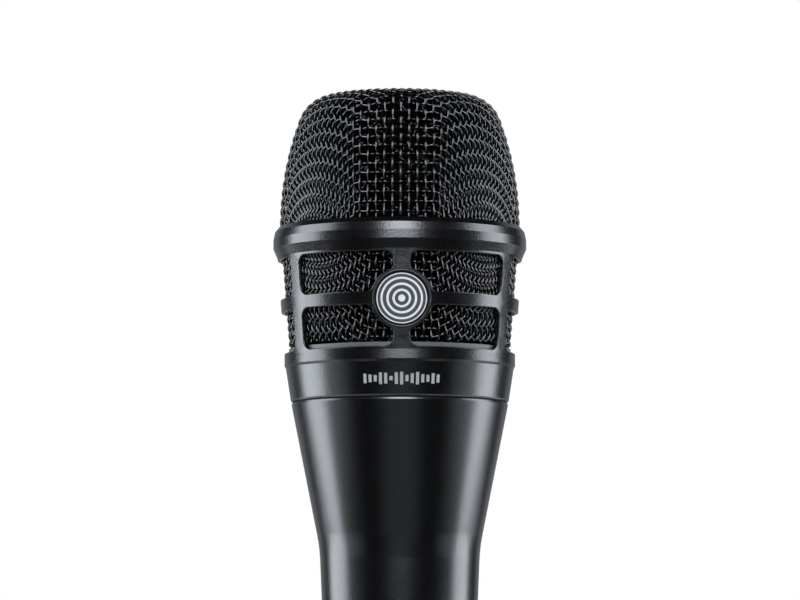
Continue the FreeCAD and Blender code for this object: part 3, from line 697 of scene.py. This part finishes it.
def make_materials():
    """The materials of the record's slots and of the new pieces."""
    return {
        "black_paint": make_material(
            "black_paint", (grey(0.0005), grey(0.0011)), (0.215, 0.265), scale=700, bump=0.5,
            bump_scale=2500),
        "grille_wire": make_material(
            "grille_wire", (grey(0.0003), grey(0.0006)), (0.09, 0.15), specular=0.66),
        "liner": make_material(
            "liner", (grey(0.0001), grey(0.0002)), (0.8, 0.95), "cells", 1400, bump=0.5,
            bump_scale=1400, specular=0.015),
        "foam_strand": make_material(
            "foam_strand", (grey(0.0006), grey(0.0012)), (0.12, 0.2), specular=1.0),
        "badge_metal": make_material(
            "badge_metal", (grey(0.35), grey(0.39)), (0.5, 0.6), scale=1500, bump=0.15),
        "badge_lacquer": make_material(
            "badge_lacquer", (grey(0.008), grey(0.012)), (0.5, 0.6), scale=1500, bump=0.15),
        # matte, nearly unreflecting black for the ring around the badge: painted shade of its recess
        "badge_painted_shade": make_material(
            "badge_painted_shade", (grey(0.0006), grey(0.0012)), (0.6, 0.7), scale=1500, bump=0.3,
            specular=0.1),
        "mark_ink": make_material(
            "mark_ink", (grey(0.15), grey(0.17)), (0.6, 0.7), scale=1500, bump=0.15),
        "thread_brass": make_material(
            "thread_brass", ((0.55, 0.42, 0.20), (0.66, 0.52, 0.28)), (0.2, 0.35), "turned", 1200,
            metallic=1.0, bump=0.2),
        "thread_alloy": make_material(
            "thread_alloy", (grey(0.50), grey(0.60)), (0.22, 0.35), "turned", 1200, metallic=1.0,
            bump=0.2),
        "seal_rubber": make_material(
            "seal_rubber", (grey(0.001), grey(0.002)), (0.6, 0.75), scale=1500, bump=0.4,
            specular=0.15),
        "mount_rubber": make_material(
            "mount_rubber", (grey(0.012), grey(0.02)), (0.5, 0.65), scale=1500, bump=0.4),
        "inner_plastic": make_material(
            "inner_plastic", (grey(0.035), grey(0.05)), (0.45, 0.6), scale=1200, bump=0.4),
        "cartridge_shell": make_material(
            "cartridge_shell", (grey(0.52), grey(0.6)), (0.3, 0.42), "turned", 2500, metallic=1.0,
            bump=0.1),
        "motor_steel": make_material(
            "motor_steel", (grey(0.45), grey(0.55)), (0.28, 0.4), "turned", 1800, metallic=1.0,
            bump=0.15),
        "magnet_metal": make_material(
            "magnet_metal", ((0.62, 0.61, 0.58), (0.70, 0.69, 0.66)), (0.12, 0.22), scale=600,
            metallic=1.0),
        "copper_wire": make_material(
            "copper_wire", ((0.45, 0.16, 0.06), (0.75, 0.36, 0.18)), (0.2, 0.35), "turned", 1600,
            metallic=1.0, bump=0.8, bump_scale=1600),
        "core_steel": make_material(
            "core_steel", (grey(0.18), grey(0.3)), (0.4, 0.55), "layers", 900, metallic=1.0,
            bump=0.6, bump_scale=900),
        "film": make_material(
            "film", ((0.55, 0.50, 0.38), (0.66, 0.61, 0.50)), (0.12, 0.2), "turned", 1400, bump=0.3),
        "cloth": make_material(
            "cloth", (grey(0.04), grey(0.08)), (0.8, 0.95), "weave", 1100, bump=0.8, sheen=0.3,
            bump_scale=1100),
        "holder_foam": make_material(
            "holder_foam", (grey(0.06), grey(0.12)), (0.8, 0.95), "cells", 900, bump=1.0,
            bump_scale=900),
        "board": make_material(
            "board", ((0.015, 0.11, 0.04), (0.03, 0.2, 0.08)), (0.3, 0.45), "cells", 350, bump=0.3,
            bump_scale=350),
        "board_trim": make_material(
            "board_trim", ((0.5, 0.28, 0.08), (0.62, 0.4, 0.14)), (0.25, 0.4), scale=800, bump=0.2),
        "lead_cover": make_material(
            "lead_cover", ((0.35, 0.03, 0.025), (0.45, 0.05, 0.04)), (0.35, 0.5), scale=1000,
            bump=0.2),
        "lead_cover_dark": make_material(
            "lead_cover_dark", (grey(0.012), grey(0.02)), (0.35, 0.5), scale=1000, bump=0.2),
        "connector_shell": make_material(
            "connector_shell", (grey(0.38), grey(0.46)), (0.28, 0.4), scale=1200, metallic=1.0,
            bump=0.25),
        "connector_block": make_material(
            "connector_block", (grey(0.02), grey(0.03)), (0.3, 0.42), scale=1500, bump=0.3),
        "contact_plate": make_material(
            "contact_plate", ((0.72, 0.52, 0.22), (0.85, 0.65, 0.32)), (0.14, 0.24), "turned", 1500,
            metallic=1.0),
    }


def dress_nodes(materials):
    """Gives each CAD node the material of its slot."""
    for entry in frame["record"]["subparts"]:
        mesh = frame["nodes"][entry["node"]].data
        mesh.materials.clear()
        mesh.materials.append(materials[entry["material_slot"]])


# ---- stage --------------------------------------------------------------------------------------

def add_floor():
    """Plain pale floor that isn't seen in reflections and casts no shadow."""
    mesh = bpy.data.meshes.new("floor")
    half = FLOOR_SIZE / 2
    corners = [(x * half, y * half, 0.0) for x, y in ((-1, -1), (1, -1), (1, 1), (-1, 1))]
    mesh.from_pydata(corners, [], [(0, 1, 2, 3)])
    floor = bpy.data.objects.new("floor", mesh)
    bpy.context.scene.collection.objects.link(floor)
    material = make_material(
        "floor", ((0.60, 0.60, 0.60), (0.62, 0.62, 0.62)), (0.7, 0.8), scale=8, specular=0.2)
    shader = material.node_tree.nodes["Principled BSDF"]
    glow_colour, glow_strength = FLOOR_GLOW
    shader.inputs["Emission Color"].default_value = glow_colour
    shader.inputs["Emission Strength"].default_value = glow_strength
    mesh.materials.append(material)
    floor.visible_glossy = False
    floor.visible_shadow = False


def add_light(name, radiance, width, height, location, aim, lean_deg=0.0):
    """Softbox of a given brightness, seen in reflections and not by the camera."""
    data = bpy.data.lights.new(name, "AREA")
    data.shape = "RECTANGLE"
    data.size = width
    data.size_y = height
    data.energy = radiance * math.pi * width * height
    data.color = LIGHT_COLOUR
    light = bpy.data.objects.new(name, data)
    bpy.context.scene.collection.objects.link(light)
    light.location = location
    turn = (Vector(aim) - Vector(location)).to_track_quat("-Z", "Y").to_matrix()
    lean = Matrix.Rotation(math.radians(lean_deg), 3, "Z")
    light.rotation_euler = (turn @ lean).to_euler()
    light.visible_camera = False


def add_side_softbox(name, radiance, width, x, y, lean_deg):
    """Tall softbox beside the microphone, facing across it."""
    place, aim = (x, y, SIDE_BOX_Z), (0, y, SIDE_BOX_Z)
    add_light(name, radiance, width, SIDE_BOX_HEIGHT, place, aim, lean_deg)


def add_card(name, radiance, width, depth, x, y):
    """Light lying on the floor and shining upwards, for the faces that look down."""
    add_light(name, radiance, width, depth, (x, y, CARD_Z), (x, y, 1))


def add_lights():
    """A leaning softbox on each side, one high in front, a dim one behind, and cards below."""
    add_side_softbox("left_softbox", 7.8, 0.64, -1.0, 0.028, -SIDE_BOX_LEAN)
    add_side_softbox("right_softbox", 7.6, 0.52, 1.0, -0.042, SIDE_BOX_LEAN)
    add_light("front_softbox", 14.0, 0.62, 1.2, (0, -1.2, FRONT_BOX_Z), (0, 0, FRONT_BOX_Z))
    add_light(
        "rear_softbox", 0.37, REAR_BOX_SIZE, REAR_BOX_SIZE, (0, 1.5, REAR_BOX_Z), (0, 0, REAR_BOX_Z))
    add_card("low_card", 1.3, 0.20, 0.20, 0, 0)
    add_card("left_bounce", 2.0, 0.6, 0.8, -0.72, 0.05)
    add_card("right_bounce", 2.0, 0.6, 0.8, 0.72, 0.05)
    add_card("left_spill", 2.0, 0.16, 0.3, -0.18, 0.1)
    add_card("right_spill", 2.0, 0.16, 0.3, 0.18, 0.1)
    add_card("front_bounce", 0.45, 0.25, 0.5, 0, -0.45)


def add_world():
    """White to the camera, and a dim even surround for everything else."""
    world = bpy.data.worlds.new("studio")
    bpy.context.scene.world = world
    world.use_nodes = True
    nodes, links = world.node_tree.nodes, world.node_tree.links
    surround = nodes["Background"]
    surround_colour, surround_strength = SURROUND
    surround.inputs["Color"].default_value = surround_colour
    surround.inputs["Strength"].default_value = surround_strength
    backdrop = nodes.new("ShaderNodeBackground")
    backdrop.inputs["Color"].default_value = (1, 1, 1, 1)
    path = nodes.new("ShaderNodeLightPath")
    mix = nodes.new("ShaderNodeMixShader")
    links.new(path.outputs["Is Camera Ray"], mix.inputs["Fac"])
    links.new(surround.outputs["Background"], mix.inputs[1])
    links.new(backdrop.outputs["Background"], mix.inputs[2])
    links.new(mix.outputs["Shader"], nodes["World Output"].inputs["Surface"])
    bpy.context.scene.view_settings.view_transform = "Standard"


# ---- assembly -----------------------------------------------------------------------------------

add_camera()
materials = make_materials()
dress_nodes(materials)
add_net("dome_wires", DomeNet(), "grille_mesh", DOME_TURN_DEG, materials["grille_wire"])
add_net("basket_wires", BasketNet(), "lower_mesh", BASKET_TURN_DEG, materials["grille_wire"])
add_liner(materials["liner"])
add_strands(materials["foam_strand"])
add_badge(materials["badge_metal"], materials["badge_lacquer"], materials["badge_painted_shade"])
add_mark(materials["mark_ink"])
add_bellows(materials["mount_rubber"])
add_leads(materials["lead_cover"], materials["lead_cover_dark"])
add_floor()
add_lights()
add_world()
